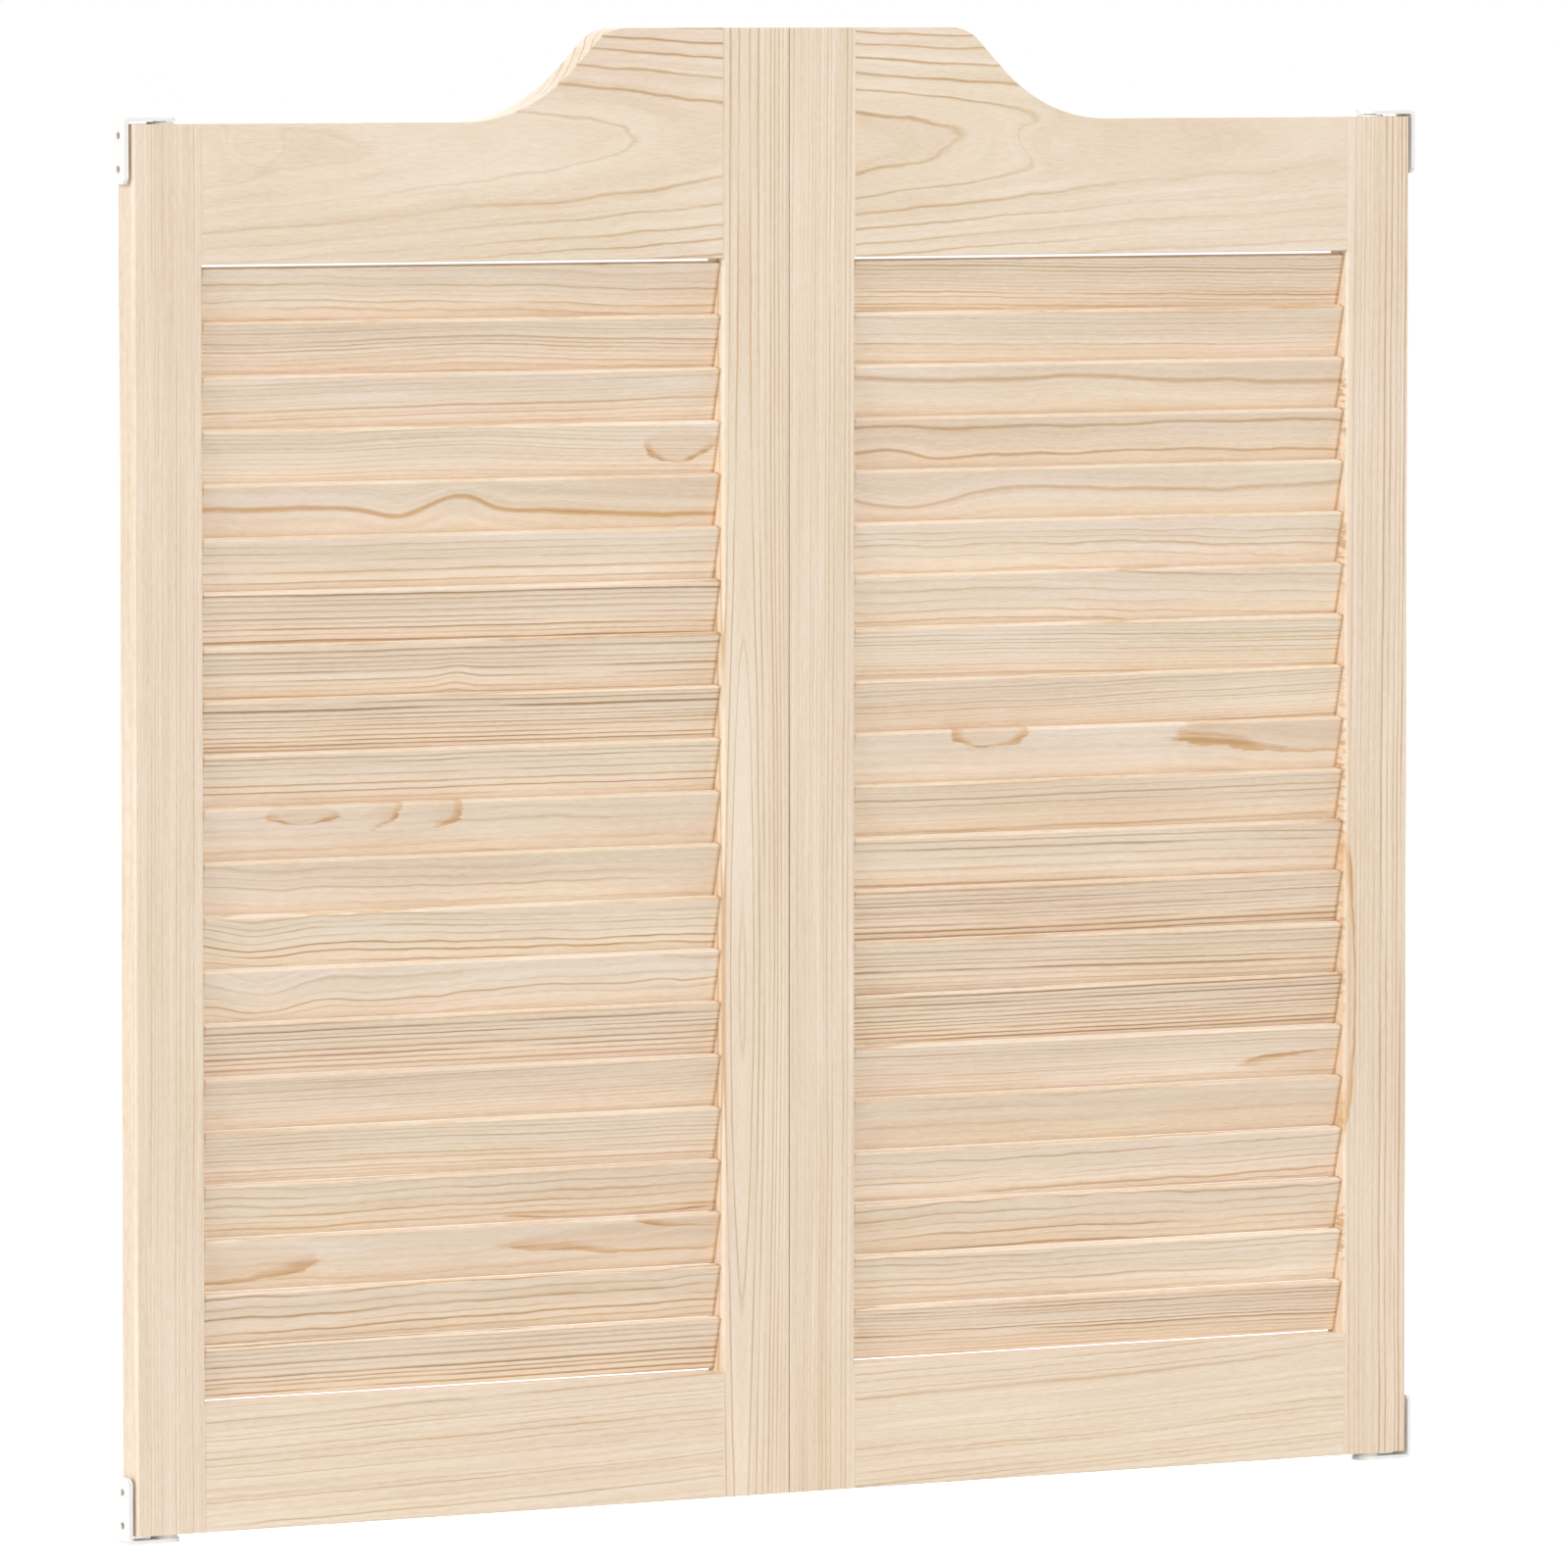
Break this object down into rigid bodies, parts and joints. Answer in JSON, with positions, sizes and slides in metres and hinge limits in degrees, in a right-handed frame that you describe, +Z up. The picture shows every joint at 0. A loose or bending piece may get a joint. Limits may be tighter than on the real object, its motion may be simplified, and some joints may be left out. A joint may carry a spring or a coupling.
{
  "type": "cafe swinging doors",
  "caption": "Pair of low louvred pine cafe doors with S-curved top rails; each leaf swings both ways on pivot brackets for the jambs.",
  "frame": {"origin": "midway between the jambs, at mid-thickness of the closed leaves, level with the underside of the bottom brackets", "axes": "+X along the doorway to the right leaf, +Y through the doorway to the back, +Z up; the front is at -Y"},
  "size_m": [0.91, 0.02, 0.9048],
  "materials": {
    "pine": "raw planed pine, matt",
    "nylon": "natural white nylon, matt",
    "painted_steel": "white powder coat, satin",
    "zinc_steel": "zinc plated"
  },
  "bodies": {
    "jamb_hardware": {"left_top_jamb_bracket": "painted_steel", "left_bottom_jamb_bracket": "painted_steel", "right_top_jamb_bracket": "painted_steel", "right_bottom_jamb_bracket": "painted_steel", "pivot_pins": "zinc_steel", "thrust_washers": "nylon"},
    "left_leaf": {"left_bottom_rail": "pine", "left_hinge_stile": "pine", "left_meeting_stile": "pine", "left_pivot_bushes": "nylon", "left_slat_01": "pine", "left_slat_02": "pine", "left_slat_03": "pine", "left_slat_04": "pine", "left_slat_05": "pine", "left_slat_06": "pine", "left_slat_07": "pine", "left_slat_08": "pine", "left_slat_09": "pine", "left_slat_10": "pine", "left_slat_11": "pine", "left_slat_12": "pine", "left_slat_13": "pine", "left_slat_14": "pine", "left_slat_15": "pine", "left_slat_16": "pine", "left_slat_17": "pine", "left_slat_18": "pine", "left_slat_19": "pine", "left_slat_20": "pine", "left_slat_21": "pine", "left_top_rail": "pine"},
    "right_leaf": {"right_bottom_rail": "pine", "right_hinge_stile": "pine", "right_meeting_stile": "pine", "right_pivot_bushes": "nylon", "right_slat_01": "pine", "right_slat_02": "pine", "right_slat_03": "pine", "right_slat_04": "pine", "right_slat_05": "pine", "right_slat_06": "pine", "right_slat_07": "pine", "right_slat_08": "pine", "right_slat_09": "pine", "right_slat_10": "pine", "right_slat_11": "pine", "right_slat_12": "pine", "right_slat_13": "pine", "right_slat_14": "pine", "right_slat_15": "pine", "right_slat_16": "pine", "right_slat_17": "pine", "right_slat_18": "pine", "right_slat_19": "pine", "right_slat_20": "pine", "right_slat_21": "pine", "right_top_rail": "pine"}
  },
  "joints": [
    {"name": "left_swing", "type": "hinge", "parent": "jamb_hardware", "child": "left_leaf", "pos_m": [-0.42705, 0, 0.4268], "axis": [0, 0, 1], "range_deg": [-90, 90], "stiffness_Nm_per_rad": 0.8},
    {"name": "right_swing", "type": "hinge", "parent": "jamb_hardware", "child": "right_leaf", "pos_m": [0.42705, 0, 0.4268], "axis": [0, 0, 1], "range_deg": [-90, 90], "stiffness_Nm_per_rad": 0.8}
  ]
}
